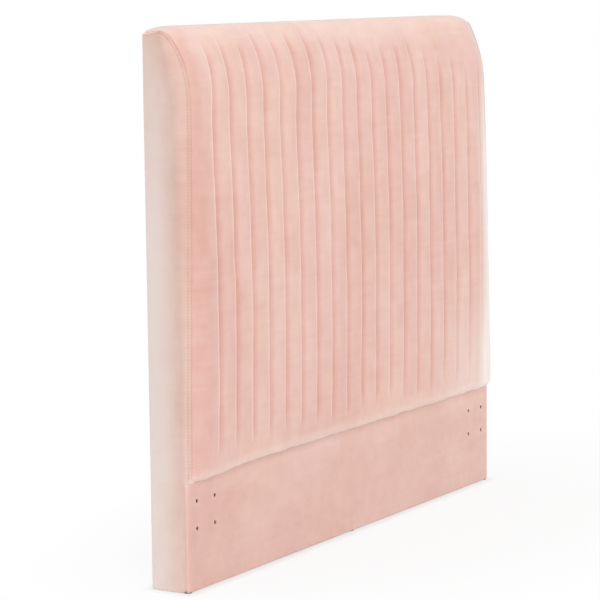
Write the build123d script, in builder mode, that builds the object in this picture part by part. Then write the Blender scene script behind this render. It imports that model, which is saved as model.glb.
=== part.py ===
"""Upholstered headboard: a plywood and pine frame under a pad with lapped vertical tucks.

X runs across the headboard, Y from the front (-Y) to the wall (+Y), Z up from the floor.
The origin lies on the floor, under the middle of the headboard. Lengths are in millimetres.
"""

import os
from math import asin, cos, degrees, radians, sin

from build123d import *

os.makedirs("parts", exist_ok=True)

# Overall size
width = 1575
height = 1372
depth = 140
overrun = 5

# Side outline of the pad: a flat top, a tight crest, a wide shoulder, a nearly upright face and a lip
crest_radius = 47
crest_turn = 60
shoulder_radius = 353
face_radius = 12750
face_lean = 2.5
lip_radius = 25
pad_bottom = 281
corner_radius = 20
side_draw = 5

# Layers, counted inwards from the velvet
velvet = 1.5
side_wadding = 3
cover_thickness = 7
foam_thickness = 25
skin_thickness = 3
dust_cloth = 1
cloth_gap = 0.3

# Tucks sewn across the pad
plain_margin = 100
tuck_pitch = 76.2
tuck_sink = 5
fold_width = 2
fold_lap = 2.2
channel_crown = 2
margin_crown = 2.5
last_channel_run = 38
tuck_fade = 55
plain_share = 0.03

# Sections through the sewn cover on each run of the side outline
plain_count = 1
crest_count = 5
shoulder_count = 7
face_count = 6
fade_count = 2
lip_count = 5

# Apron below the pad, set back from the end of the lip
lip_ledge = 3
apron_corner = 8
apron_board_thickness = 12
tack_strip_thickness = 1

# Frame timber
panel_thickness = 18
rib_spacing = 383
rail_thickness = 19
rail_height = 64
crest_rail_height = 38
low_rail_height = 44
low_rail_z = 24
middle_front_z = 760
middle_back_z = 700
lap_rail_drop = 38
lap_rail_rise = 32

# Bolt holes for the bed frame, one group of four near each end
hole_margin = 43.5
hole_column_spacing = 78
hole_row_spacing = 68
hole_z = 155.5
hole_radius = 4.25
wadding_hole = 5
board_hole = 4.5
block_hole = 5.2
block_width = 125
block_height = 136
block_thickness = 22
nut_bore = 4
nut_barrel = 5
nut_barrel_length = 12
nut_flange = 11
nut_flange_thickness = 1.5
nut_side_count = 12

# Screws that join the end panels to the rails
screw_radius = 2
screw_length = 50
screw_head = 4
screw_spacing = 30
screw_side_count = 8
bore_gap = 0.1

# Corner blocks glued behind the apron board
corner_block_leg = 38
corner_block_height = 46
corner_block_z = 72

# Floor glides, each with its own nail
glide_height = 4
glide_radius = 10
glide_edge = 1
glide_side_count = 16
nail_radius = 1.2
nail_length = 16
glide_back = 18

# Edges of the cloth that are turned over and stapled
side_turn = 25
top_turn = 45
dust_margin = 10

# Places worked out from the sizes above
back_y = depth / 2
front_y = -depth / 2
side_x = width / 2
side_layer = velvet + side_wadding
frame_x = side_x - side_layer
inner_x = frame_x - panel_thickness
cloth_back_y = back_y - dust_cloth
frame_back_y = cloth_back_y - velvet
shoulder_turn = 90 - face_lean - crest_turn
crest_y = (
    front_y
    + crest_radius * sin(radians(crest_turn))
    + shoulder_radius * (cos(radians(face_lean)) - sin(radians(crest_turn)))
    + face_radius * (1 - cos(radians(face_lean)))
)
fullest_z = (
    height
    - crest_radius * (1 - cos(radians(crest_turn)))
    - shoulder_radius * (cos(radians(crest_turn)) - sin(radians(face_lean)))
    - face_radius * sin(radians(face_lean))
)
lower_turn = degrees(asin((fullest_z - pad_bottom - lip_radius) / (face_radius - lip_radius)))
foam_outer = cover_thickness + cloth_gap
foam_inner = foam_outer + foam_thickness
skin_outer = foam_inner + cloth_gap
skin_inner = skin_outer + skin_thickness
board_top = pad_bottom + corner_radius
board_bottom = glide_height + velvet
lip_end_y = front_y + face_radius - (face_radius - lip_radius) * cos(radians(lower_turn))
apron_y = lip_end_y + lip_ledge
board_front_y = apron_y + side_layer
board_back_y = board_front_y + apron_board_thickness
crest_rail_top = height - skin_outer
crest_rail_bottom = crest_rail_top - crest_rail_height
block_back_y = board_back_y + block_thickness
hole_x = side_x - hole_margin - hole_column_spacing / 2
hole_middle_z = hole_z + hole_row_spacing / 2
tuck_count = int((width - 2 * plain_margin) / tuck_pitch) + 1
first_tuck = -tuck_pitch * (tuck_count - 1) / 2


def face_y(z, inset):
    """Y of the pad's face, set in from the velvet, at a height below the shoulder."""
    radius = face_radius - inset
    return front_y + inset + radius * (1 - cos(asin((z - fullest_z) / radius)))


def pad_line(inset, back):
    """Draws the pad's side outline from the back of its top down to its lip, and returns its runs."""
    top = Line((back, height - inset), (crest_y, height - inset))
    crest = JernArc(top @ 1, (-1, 0), crest_radius - inset, crest_turn)
    shoulder = JernArc(crest @ 1, crest % 1, shoulder_radius - inset, shoulder_turn)
    face = JernArc(shoulder @ 1, shoulder % 1, face_radius - inset, face_lean + lower_turn)
    return top, crest, shoulder, face


def pad_side(inset, back):
    """Side view of the whole pad with its rolled lip, set in from the velvet."""
    with BuildSketch() as side_view:
        with BuildLine():
            top, crest, shoulder, face = pad_line(inset, back)
            lip = JernArc(face @ 1, face % 1, lip_radius - inset, 90 - lower_turn)
            Polyline(lip @ 1, (back, pad_bottom + inset), top @ 0)
        make_face()
    return side_view.sketch


def core_side(inset, bottom, ceiling=height):
    """Side view of what lies behind the pad at a depth, between two heights."""
    with BuildSketch() as side_view:
        with BuildLine():
            top, crest, shoulder, face = pad_line(inset, frame_back_y)
            foot = face @ 1
            Polyline(foot, (foot.X, 0), (frame_back_y, 0), top @ 0)
        make_face()
        with Locations((0, bottom)):
            Rectangle(2 * depth, ceiling - bottom, align=(Align.CENTER, Align.MIN), mode=Mode.INTERSECT)
    return side_view.sketch


def box_side(y, z, deep, tall, mode=Mode.ADD):
    """Rectangle in the side view, from its lower front corner."""
    with Locations((y, z)):
        Rectangle(deep, tall, align=(Align.MIN, Align.MIN), mode=mode)


def rib_side(bottom):
    """Side view of an end panel or rib: the pad's core above, set back for the apron board below."""
    with BuildSketch() as side_view:
        add(core_side(skin_inner, bottom, crest_rail_bottom))
        box_side(board_back_y - depth, bottom, depth, board_top - bottom, mode=Mode.SUBTRACT)
    return side_view.sketch


def facing(y):
    """Plane across the headboard at Y, seen from the front."""
    return Plane.XZ.offset(-y)


def bolt_circles(radius):
    """Four round bolt holes near each end, in the front view."""
    for side in (-1, 1):
        with Locations((side * hole_x, hole_middle_z)):
            with GridLocations(hole_column_spacing, hole_row_spacing, 2, 2):
                Circle(radius)


def bolt_polygons(radius, sides=(-1, 1)):
    """The same places near one or both ends, with the hidden many-sided form of the nuts."""
    for side in sides:
        with Locations((side * hole_x, hole_middle_z)):
            with GridLocations(hole_column_spacing, hole_row_spacing, 2, 2):
                RegularPolygon(radius, nut_side_count)


def finish(piece, name):
    """Labels a piece and writes it to its own file."""
    piece.part.label = name
    export_step(piece.part, f"parts/{name}.step")


# Rails that run between the end panels, as front Y, bottom Z, thickness and height
middle_front_y = max(
    face_y(middle_front_z, skin_inner),
    face_y(middle_front_z + rail_height, skin_inner),
)
straight_rails = {
    "middle_front_rail": (middle_front_y, middle_front_z, rail_thickness, rail_height),
    "bottom_front_rail": (board_back_y, low_rail_z, rail_thickness, low_rail_height),
    "middle_back_rail": (frame_back_y - rail_thickness, middle_back_z, rail_thickness, rail_height),
    "bottom_back_rail": (frame_back_y - rail_thickness, low_rail_z, rail_thickness, rail_height),
}
lap_head_y = face_y(board_top, skin_inner)
lap_rail = (
    (board_back_y, board_top - lap_rail_drop, rail_thickness, lap_rail_drop),
    (lap_head_y, board_top, board_back_y + rail_thickness - lap_head_y, lap_rail_rise),
)


def screw_points(rail):
    """Side-view places of the two screws in the end of a rail."""
    y, z, deep, tall = rail
    return [(y + deep / 2, z + tall / 2 + half * screw_spacing) for half in (-0.5, 0.5)]


def notch(rail):
    """Notch in the side view for a rail, open to the front unless the rail lies at the back."""
    y, z, deep, tall = rail
    mouth = y if y > 0 else front_y
    box_side(mouth, z, y + deep - mouth, tall, mode=Mode.SUBTRACT)


def screw_form(gap):
    """One countersunk screw along Z from its head's top, thicker and longer by a gap."""
    head_depth = screw_head - screw_radius
    with BuildPart() as screw:
        with BuildSketch():
            RegularPolygon(screw_head + gap, screw_side_count)
        with BuildSketch(Plane.XY.offset(head_depth)) as neck:
            RegularPolygon(screw_radius + gap, screw_side_count)
        loft(ruled=True)
        extrude(neck.sketch, amount=screw_length - head_depth + gap)
    return screw.part


def screws(side, points, gap=0, mode=Mode.ADD):
    """Screws from the outside of an end panel, or with a gap, the holes for them."""
    places = []
    for y, z in points:
        places.append(Plane(origin=(side * frame_x, y, z), x_dir=(0, 1, 0), z_dir=(-side, 0, 0)))
    with Locations(*places):
        add(screw_form(gap), mode=mode)


def bore_rail_ends(rail):
    """Drills the screw bores into both ends of a rail."""
    for side in (-1, 1):
        screws(side, screw_points(rail), bore_gap, Mode.SUBTRACT)


lap_screws = (board_back_y, board_top - lap_rail_drop, rail_thickness, lap_rail_drop + lap_rail_rise)
all_screw_points = []
for screwed in (*straight_rails.values(), lap_screws):
    all_screw_points += screw_points(screwed)


back_glide_y = back_y - glide_back
front_glide_y = (board_front_y + board_back_y) / 2
panel_middle_x = frame_x - panel_thickness / 2
glide_points = []
for x in (-panel_middle_x, 0, panel_middle_x):
    glide_points += [(x, front_glide_y), (x, back_glide_y)]


def bore_nails():
    """Drills the nail holes of the glides up from the undersides of the frame."""
    with BuildSketch(Plane.XY.offset(glide_height)) as holes:
        with Locations(*glide_points):
            RegularPolygon(nail_radius + bore_gap, screw_side_count)
    extrude(holes.sketch, amount=nail_length + bore_gap, mode=Mode.SUBTRACT)


# End panels, with countersunk holes for the rail screws
for side, name in ((-1, "left_end_panel"), (1, "right_end_panel")):
    with BuildPart() as end_panel:
        with BuildSketch(Plane.YZ.offset(side * inner_x)):
            add(rib_side(board_bottom))
        extrude(amount=side * panel_thickness)
        screws(side, all_screw_points, bore_gap, Mode.SUBTRACT)
        bore_nails()
    finish(end_panel, name)

# Ribs between the end panels, notched for the rails that run through them
for place, name in ((-1, "left_rib"), (0, "centre_rib"), (1, "right_rib")):
    with BuildPart() as rib:
        with BuildSketch(Plane.YZ.offset(place * rib_spacing - panel_thickness / 2)):
            add(rib_side(glide_height))
            for rail in (*straight_rails.values(), *lap_rail):
                notch(rail)
        extrude(amount=panel_thickness)
        bore_nails()
    finish(rib, name)

# Straight rails between the end panels
for name, rail in straight_rails.items():
    with BuildPart() as straight_rail:
        with BuildSketch(Plane.YZ):
            box_side(*rail)
        extrude(amount=inner_x, both=True)
        bore_rail_ends(rail)
    finish(straight_rail, name)

# Lap rail, rebated to carry the apron board below and the foot of the skin above
with BuildPart() as rebated_rail:
    with BuildSketch(Plane.YZ):
        for step in lap_rail:
            box_side(*step)
    extrude(amount=inner_x, both=True)
    bore_rail_ends(lap_screws)
finish(rebated_rail, "lap_rail")

# Crest rail across the top of the panels and ribs, rounded to the pad's crest
with BuildPart() as crest_rail:
    with BuildSketch(Plane.YZ):
        add(core_side(skin_outer, crest_rail_bottom))
    extrude(amount=frame_x, both=True)
finish(crest_rail, "crest_rail")

# Hardboard skin bent over the ribs from the apron board up to the crest rail
with BuildPart() as front_skin:
    with BuildSketch(Plane.YZ):
        add(core_side(skin_outer, board_top, crest_rail_bottom))
        add(core_side(skin_inner, board_top, crest_rail_bottom), mode=Mode.SUBTRACT)
    extrude(amount=frame_x, both=True)
finish(front_skin, "front_skin")

# Apron board, drilled for the bed frame's bolts
with BuildPart() as apron_board:
    with BuildSketch(Plane.XY.offset(board_bottom)):
        with Locations((0, board_front_y)):
            Rectangle(2 * frame_x, apron_board_thickness, align=(Align.CENTER, Align.MIN))
        front_corners = vertices().group_by(Axis.Y)[0]
        fillet(front_corners, radius=apron_corner - side_layer)
    extrude(amount=board_top - board_bottom)
    with BuildSketch(facing(board_front_y)):
        bolt_circles(board_hole)
    extrude(amount=-apron_board_thickness, mode=Mode.SUBTRACT)
    bore_nails()
finish(apron_board, "apron_board")

# Bolt blocks glued behind the apron board, in the corners beside the end panels
for side, name in ((-1, "left_bolt_block"), (1, "right_bolt_block")):
    with BuildPart() as bolt_block:
        with BuildSketch(facing(board_back_y)):
            with Locations((side * (inner_x - block_width / 2), hole_middle_z)):
                Rectangle(block_width, block_height)
            with BuildSketch(mode=Mode.SUBTRACT):
                bolt_polygons(block_hole, [side])
        extrude(amount=-block_thickness)
    finish(bolt_block, name)

# Flanged nuts pressed into the backs of the bolt blocks
with BuildPart() as bolt_nuts:
    with BuildSketch(facing(block_back_y)):
        bolt_polygons(nut_flange)
    extrude(amount=-nut_flange_thickness)
    with BuildSketch(facing(block_back_y - nut_barrel_length)):
        bolt_polygons(nut_barrel)
    extrude(amount=-nut_barrel_length)
    with BuildSketch(facing(block_back_y - nut_barrel_length)):
        bolt_polygons(nut_bore)
    extrude(amount=-nut_barrel_length - nut_flange_thickness, mode=Mode.SUBTRACT)
finish(bolt_nuts, "bolt_nuts")

# Corner blocks in the angles between the apron board and the panels and ribs
block_corners = [(-inner_x, 1), (inner_x, -1)]
for place in (-1, 0, 1):
    for side in (-1, 1):
        block_corners.append((place * rib_spacing + side * panel_thickness / 2, side))
with BuildPart() as corner_blocks:
    with BuildSketch(Plane.XY.offset(corner_block_z)):
        for x, side in block_corners:
            with BuildLine():
                Polyline(
                    (x, board_back_y),
                    (x + side * corner_block_leg, board_back_y),
                    (x, board_back_y + corner_block_leg),
                    close=True,
                )
            make_face()
    extrude(amount=corner_block_height)
finish(corner_blocks, "corner_blocks")

# Countersunk screws through the end panels into the rails
with BuildPart() as frame_screws:
    for side in (-1, 1):
        screws(side, all_screw_points)
finish(frame_screws, "frame_screws")

# Nylon glides at the corners and under the middle, each nailed to the board or panel above it
with BuildPart() as floor_glides:
    with BuildSketch():
        with Locations(*glide_points):
            RegularPolygon(glide_radius, glide_side_count)
    extrude(amount=glide_height)
    chamfer(floor_glides.edges().group_by(Axis.Z)[0], length=glide_edge)
    with BuildSketch(Plane.XY.offset(glide_height)):
        with Locations(*glide_points):
            RegularPolygon(nail_radius, screw_side_count)
    extrude(amount=nail_length)
finish(floor_glides, "floor_glides")

# Foam bent over the skin and the crest rail, rounded along its ends
with BuildPart() as pad_foam:
    with BuildSketch(Plane.YZ):
        add(pad_side(foam_outer, frame_back_y))
    extrude(amount=frame_x - cloth_gap, both=True)
    end_edges = []
    for end_face in (pad_foam.faces().sort_by(Axis.X)[0], pad_foam.faces().sort_by(Axis.X)[-1]):
        end_edges += end_face.edges().sort_by(Axis.Y)[:-1]
    fillet(end_edges, radius=corner_radius - foam_outer)
    with BuildSketch(Plane.YZ):
        add(core_side(foam_inner, 0))
        box_side(apron_y - tack_strip_thickness - cloth_gap, 0, depth, board_top + cloth_gap)
    extrude(amount=side_x, both=True, mode=Mode.SUBTRACT)
finish(pad_foam, "pad_foam")


def run_places(run, steps, pleat_share):
    """Planes square to a run of the side outline, each with its share of the tucks' full depth."""
    places = []
    for step in range(steps):
        point = run @ (step / steps)
        way = run % (step / steps)
        place = Plane(origin=(0, point.X, point.Y), x_dir=(1, 0, 0), z_dir=(0, way.X, way.Y))
        places.append((place, pleat_share(step / steps * run.length)))
    return places


def bowed(start, end, bow):
    """Draws an arc between two points, bowed out of the cover."""
    middle = (start + end) / 2
    return ThreePointArc(start, (middle.X, middle.Y + bow), end)


def cover_section(place, pleat):
    """Section through the sewn cover, square to its run, with rolled ends and lapped channels."""
    roll = corner_radius - side_draw
    roll_x = side_x - roll
    inner_roll = corner_radius - cover_thickness
    with BuildSketch(place) as section:
        with BuildLine():
            left_roll = RadiusArc((-side_x, -corner_radius), (-roll_x, -side_draw), roll)
            start = left_roll @ 1
            crown = margin_crown
            for tuck in range(tuck_count):
                x = first_tuck + tuck * tuck_pitch
                fold = Vector(x - fold_width * pleat, 0)
                valley = Vector(x, -tuck_sink * pleat)
                bowed(start, fold, crown)
                Polyline(fold, ((fold.X + x) / 2 + fold_lap * pleat, valley.Y / 2), valley)
                start = valley
                crown = channel_crown * pleat
            rise = bowed(start, Vector(start.X + last_channel_run, 0), margin_crown * pleat) @ 1
            right_margin = bowed(rise, Vector(roll_x, -side_draw), margin_crown)
            right_roll = RadiusArc(right_margin @ 1, (side_x, -corner_radius), roll)
            right_end = Line(right_roll @ 1, (frame_x, -corner_radius))
            right_inner = RadiusArc(right_end @ 1, (frame_x - inner_roll, -cover_thickness), -inner_roll)
            inside = Line(right_inner @ 1, (inner_roll - frame_x, -cover_thickness))
            left_inner = RadiusArc(inside @ 1, (-frame_x, -corner_radius), -inner_roll)
            Line(left_inner @ 1, left_roll @ 0)
        make_face()
    return section.sketch


# Sewn cover of the pad: velvet on its wadding, lofted down the pad through sections with lapped tucks
with BuildLine() as cover_run:
    top_run, crest_run, shoulder_run, face_run = pad_line(0, cloth_back_y)
    lip_run = JernArc(face_run @ 1, face_run % 1, lip_radius, 90 - lower_turn)
    under_run = Line(lip_run @ 1, (apron_y - cloth_gap, pad_bottom))



def plain(distance):
    """Share where the cover has no tucks."""
    return plain_share


def full(distance):
    """Share where the tucks are at their full depth."""
    return 1


def rising(distance):
    """Share below the crest, where the tucks deepen."""
    return max(plain_share, min(1, distance / tuck_fade))


def fading(distance):
    """Share above the lip, where the tucks run out."""
    return max(plain_share, 1 - distance / tuck_fade)


face_fade_share = 1 - tuck_fade / face_run.length
cover_runs = (
    (top_run, plain_count, plain),
    (crest_run, crest_count, plain),
    (shoulder_run, shoulder_count, rising),
    (face_run.trim(0, face_fade_share), face_count, full),
    (face_run.trim(face_fade_share, 1), fade_count, fading),
    (lip_run, lip_count, plain),
    (under_run, plain_count, plain),
)
cover_places = []
for run, steps, pleat_share in cover_runs:
    cover_places += run_places(run, steps, pleat_share)
under_end = under_run @ 1
last_place = Plane(origin=(0, under_end.X, under_end.Y), x_dir=(1, 0, 0), z_dir=(0, 1, 0))
cover_places.append((last_place, plain_share))

with BuildPart() as pleated_cover:
    loft([cover_section(place, pleat) for place, pleat in cover_places], ruled=True)
    with BuildSketch(facing(cloth_back_y)):
        with Locations((0, height - top_turn)):
            Rectangle(2 * frame_x, top_turn - velvet, align=(Align.CENTER, Align.MIN))
    extrude(amount=velvet)
finish(pleated_cover, "pleated_cover")

# Tack strip that holds the apron's upper edge behind the pad's lip
strip_bottom = pad_bottom + foam_outer
with BuildPart() as tack_strip:
    with BuildSketch(facing(apron_y)):
        with Locations((0, strip_bottom)):
            strip_length = 2 * (side_x - corner_radius)
            Rectangle(strip_length, board_top - strip_bottom, align=(Align.CENTER, Align.MIN))
    extrude(amount=tack_strip_thickness)
finish(tack_strip, "tack_strip")


def side_cloth(back, bottom):
    """Side view of a side covering: the pad's side inside its seam, and the apron's side below."""
    with BuildSketch() as side_view:
        add(pad_side(corner_radius + cloth_gap, back))
        apron_back = apron_y + apron_corner
        box_side(apron_back, bottom, back - apron_back, board_top + cloth_gap - bottom)
    return side_view.sketch


# Side wadding and side covers, with the velvet turned over the back and under the bottom
for side, hand in ((-1, "left"), (1, "right")):
    with BuildPart() as wadding:
        with BuildSketch(Plane.YZ.offset(side * frame_x)):
            add(side_cloth(frame_back_y, board_bottom))
        extrude(amount=side * side_wadding)
    finish(wadding, f"{hand}_side_wadding")

    with BuildPart() as side_cover:
        with BuildSketch(Plane.YZ.offset(side * (side_x - velvet))):
            add(side_cloth(cloth_back_y, glide_height))
        extrude(amount=side * velvet)
        turn_align = (Align.MIN if side < 0 else Align.MAX, Align.MIN)
        with BuildSketch(facing(cloth_back_y)):
            with Locations((side * side_x, glide_height)):
                Rectangle(side_turn, height - top_turn - glide_height, align=turn_align)
        extrude(amount=velvet)
        with BuildSketch(Plane.XY.offset(glide_height)):
            with Locations((side * side_x, apron_y + apron_corner)):
                Rectangle(side_turn, cloth_back_y - apron_y - apron_corner, align=turn_align)
        extrude(amount=velvet)
        bore_nails()
    finish(side_cover, f"{hand}_side_cover")


def apron_plan(inset, piece_turn):
    """Plan of the apron's wrapping at a depth: a shallow box with rounded front corners."""
    with BuildSketch() as plan:
        with Locations((0, apron_y + inset)):
            Rectangle(2 * (side_x - inset), piece_turn - inset, align=(Align.CENTER, Align.MIN))
        fillet(plan.vertices().group_by(Axis.Y)[0], radius=apron_corner - inset)
    return plan.sketch


# Apron wadding and velvet, wrapped round the ends of the board and pierced for the bolts
wrappings = (
    ("apron_wadding", velvet, side_layer, board_bottom),
    ("apron_cover", 0, velvet, glide_height),
)
for name, outer, inner, bottom in wrappings:
    with BuildPart() as wrapping:
        with BuildSketch(Plane.XY.offset(bottom)):
            add(apron_plan(outer, apron_corner))
            add(apron_plan(inner, apron_corner + overrun), mode=Mode.SUBTRACT)
        extrude(amount=board_top - bottom)
        with BuildSketch(facing(apron_y + outer)):
            if name == "apron_wadding":
                bolt_polygons(wadding_hole)
            else:
                bolt_circles(hole_radius)
        extrude(amount=outer - inner, mode=Mode.SUBTRACT)
        if name == "apron_cover":
            with BuildSketch(Plane.XY.offset(glide_height)):
                add(apron_plan(velvet, apron_corner))
                with Locations((0, apron_y + velvet)):
                    turn_depth = board_back_y - apron_y - velvet
                    Rectangle(2 * (side_x - side_turn), turn_depth, align=(Align.CENTER, Align.MIN))
            extrude(amount=velvet)
            bore_nails()
    finish(wrapping, name)

# Dust cloth stapled over the back
with BuildPart() as dust_cover:
    with BuildSketch(facing(back_y)):
        with Locations((0, (height + glide_height) / 2)):
            Rectangle(width - 2 * dust_margin, height - glide_height - 2 * dust_margin)
    extrude(amount=dust_cloth)
finish(dust_cover, "back_dust_cover")
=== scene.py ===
"""Upholstered headboard with lapped tucks: its cloth, thread and finishes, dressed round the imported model."""

from math import cos, pi, radians, sin

import bmesh
import bpy
import numpy as np
from mathutils import Matrix, Vector


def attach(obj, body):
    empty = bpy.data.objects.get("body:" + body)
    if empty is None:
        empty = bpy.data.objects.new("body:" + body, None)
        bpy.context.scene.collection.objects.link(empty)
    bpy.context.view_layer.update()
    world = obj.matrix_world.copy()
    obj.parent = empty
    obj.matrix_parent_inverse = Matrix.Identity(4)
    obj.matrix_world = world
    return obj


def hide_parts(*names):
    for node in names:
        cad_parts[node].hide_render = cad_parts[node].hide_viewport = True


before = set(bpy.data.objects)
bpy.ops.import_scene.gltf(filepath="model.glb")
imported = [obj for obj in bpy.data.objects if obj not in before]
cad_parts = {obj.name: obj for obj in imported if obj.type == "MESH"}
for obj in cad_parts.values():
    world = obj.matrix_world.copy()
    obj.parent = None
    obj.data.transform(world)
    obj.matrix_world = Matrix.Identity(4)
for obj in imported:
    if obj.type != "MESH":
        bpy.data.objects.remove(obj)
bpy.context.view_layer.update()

# ---------------------------------------------------------------------------
# Pleated cover. Blush velvet, sewn to thin wadding in 19 vertical tucks that
# lie over to the right. It wraps the top, the face and the lip of the pad,
# and its upper edge is turned over the back and stapled.
# ---------------------------------------------------------------------------
HEIGHT, HALF, BACK = 1.372, 0.7875, 0.069
TOP_TURN, BACK_EDGE = 0.042, 0.003
CREST_Y, CREST_RADIUS, CREST_ARC = 0.0298, 0.047, radians(60)
SHOULDER_RADIUS, SHOULDER_ARC = 0.353, radians(27.5)
FACE_RADIUS, FACE_ARC = 12.75, radians(3.9646)
LIP_RADIUS, LIP_ARC, LIP_LEDGE = 0.025, pi - CREST_ARC - SHOULDER_ARC - FACE_ARC, 0.003

# Length and turn of each run of the pad's side outline, from the turned edge at the back to the lip
outline_runs = (
    (TOP_TURN, 0),
    (BACK_EDGE * pi / 2, pi / 2),
    (BACK - BACK_EDGE - CREST_Y, 0),
    (CREST_RADIUS * CREST_ARC, CREST_ARC),
    (SHOULDER_RADIUS * SHOULDER_ARC, SHOULDER_ARC),
    (FACE_RADIUS * FACE_ARC, FACE_ARC),
    (LIP_RADIUS * LIP_ARC, LIP_ARC),
    (LIP_LEDGE, 0),
)
run_marks = np.cumsum([0] + [length for length, turn in outline_runs])
turn_marks = np.cumsum([-pi / 2] + [turn for length, turn in outline_runs])
BACK_END, TOP_START, CREST_START, SHOULDER_START, FACE_START, LIP_START, LIP_END = run_marks[1:8]

fine_run = np.linspace(0, run_marks[-1], 8001)
fine_turn = np.interp(fine_run, run_marks, turn_marks)


def summed(slopes):
    """Running integral of a slope along the outline."""
    steps = (slopes[1:] + slopes[:-1]) / 2 * fine_run[1]
    return np.concatenate(([0], np.cumsum(steps)))


fine_y = BACK - summed(np.cos(fine_turn))
fine_z = HEIGHT - TOP_TURN - BACK_EDGE - summed(np.sin(fine_turn))


def outline(run, out):
    """Y and Z at a length along the outline, moved out of the pad by a distance."""
    turn = np.interp(run, run_marks, turn_marks)
    y = np.interp(run, fine_run, fine_y) - np.sin(turn) * out
    z = np.interp(run, fine_run, fine_z) + np.cos(turn) * out
    return y, z


def ease(value, start, end):
    """Smooth step from 0 at start to 1 at end."""
    share = np.clip((value - start) / (end - start), 0, 1)
    return share * share * (3 - 2 * share)


def bell(value, middle, width):
    """Smooth hump, 1 at its middle."""
    return np.exp(-(((value - middle) / width) ** 2))


def drift(seed, *places):
    """Gentle wandering between about -1 and 1, the same in each run."""
    draw = np.random.RandomState(seed)
    total = 0
    for wave in range(5):
        phase = draw.uniform(0, 2 * pi)
        for place in places:
            phase = phase + place * draw.uniform(0.5, 1.5) * (1 + 0.6 * wave) * draw.choice((-1, 1))
        total = total + np.sin(phase) / (1 + 0.4 * wave)
    return total / 2.2


# The rounded ends of the pad, at marks in metres along the outline. The rows are the reach over the face, the
# reach over the side, the squareness (2 is an ellipse), and how far inside the side the seam lies.
end_marks = (0.045, 0.078, 0.113, 0.141, 0.170, 0.200, 0.240, 0.290, 0.345, 0.530, 0.770, 1.010, 1.160)
end_tables = {
    -1: (
        (0.120, 0.115, 0.105, 0.095, 0.085, 0.076, 0.072, 0.070, 0.070, 0.070, 0.064, 0.060, 0.060),
        (0.024, 0.023, 0.026, 0.033, 0.039, 0.043, 0.045, 0.045, 0.045, 0.044, 0.042, 0.038, 0.038),
        (2.4, 2.4, 2.3, 1.85, 1.92, 1.95, 1.94, 1.88, 1.87, 1.8, 1.66, 1.45, 1.45),
        (0.0005, 0.004, 0.010, 0.0195, 0.024, 0.026, 0.026, 0.0255, 0.0237, 0.0175, 0.012, 0.0095, 0.010),
    ),
    1: (
        (0.130, 0.130, 0.125, 0.115, 0.108, 0.104, 0.102, 0.100, 0.100, 0.100, 0.095, 0.080, 0.068),
        (0.028, 0.030, 0.034, 0.037, 0.038, 0.038, 0.0375, 0.037, 0.037, 0.037, 0.037, 0.037, 0.037),
        (2.0, 1.9, 1.7, 1.55, 1.5, 1.45, 1.45, 1.45, 1.45, 1.45, 1.5, 1.8, 2.2),
        (0.0005, 0.004, 0.010, 0.018, 0.021, 0.022, 0.022, 0.022, 0.021, 0.018, 0.014, 0.012, 0.012),
    ),
}
BLUR = 161
blur_kernel = np.hanning(BLUR) / np.hanning(BLUR).sum()


def softened(values):
    """Values at the marks drawn through as one smooth curve along the outline."""
    curve = np.pad(np.interp(fine_run, end_marks, values), BLUR // 2, mode="edge")
    return np.convolve(curve, blur_kernel, mode="valid")


end_curves = {hand: [softened(values) for values in table] for hand, table in end_tables.items()}


def end_shape(run, hand):
    """Reach over the face, reach over the side, squareness and place of the seam at one end."""
    return [np.interp(run, fine_run, curve) for curve in end_curves[hand]]


def rounded(distance, across, along, power):
    """How far a rounded edge lies below its square corner, at a distance from that corner."""
    share = np.clip(1 - distance / across, 0, 1)
    return along * (1 - (1 - share**power) ** (1 / power))


def end_sink(run, x):
    """Depth of the pad's ends inside the face, at a place across the headboard."""
    left, right = [rounded(HALF - np.abs(x), *end_shape(run, hand)[:3]) for hand in (-1, 1)]
    return np.where(x < 0, left, right)


def furrow(gap):
    """How deep a seam draws in the cloth, at a distance from it."""
    return 0.0013 * np.exp(-gap / 0.003)


LIP_STOP, LIP_DIP, DIP_REACH, LIP_RISE = -0.0392, 0.0135, 0.18, 0.003


def lip_drop(run, x):
    """How much lower the lip hangs than its plain outline, most at the left end."""
    return (LIP_DIP * bell(x, -HALF, DIP_REACH) - LIP_RISE) * ease(run, LIP_START - 0.06, LIP_START + 0.03)


def pad_place(run, lift, sink=0):
    """Y and Z on the pad: lifted off the outline, and sunk towards the seam at its ends."""
    turn = np.minimum(np.interp(run, run_marks, turn_marks), pi / 2)
    behind = run < TOP_START
    y, z = outline(run, lift)
    y = y + np.where(behind, 0, np.sin(turn)) * sink
    z = z - np.where(behind, ease(run, 0, BACK_END), np.cos(turn)) * sink
    return np.where(run > LIP_START - 0.005, np.minimum(y, LIP_STOP), y), z


# Columns of one tuck in millimetres: place on plain cloth, place on the fold, height there
approach = [(-34, 0), (-26, 0), (-19, 0.05), (-13, 0.15), (-8, 0.3), (-5, 0.45), (-3.2, 0.5)]
rolled = [
    (-2.3, -1.9, 0.4),
    (-1.5, -0.6, 0.1),
    (-0.8, 0.6, -0.6),
    (-0.2, 1.4, -1.6),
    (0.4, 1.6, -2.8),
    (0.9, 1.3, -3.9),
    (1.4, 1.0, -4.7),
]
trailing = (2.2, 3.6, 6, 9.5, 14, 20, 27, 34)
TUCKS, PITCH = 19, 0.0762
TUCK_DEPTH, TUCK_REACH, TRAIL_LENGTH, CROWN = 0.0049, 0.034, 0.021, 0.0021
first_tuck = -PITCH * (TUCKS - 1) / 2


def trail(distance):
    """Height of the cloth to the right of a fold, as a share of the tuck's depth."""
    return -np.exp(-((np.maximum(distance, 0) / TRAIL_LENGTH) ** 0.8))


def crown(part):
    """Swell of the cloth between two tucks, at a share of the way from one to the other."""
    return CROWN * np.sin(pi * part**1.25)


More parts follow.
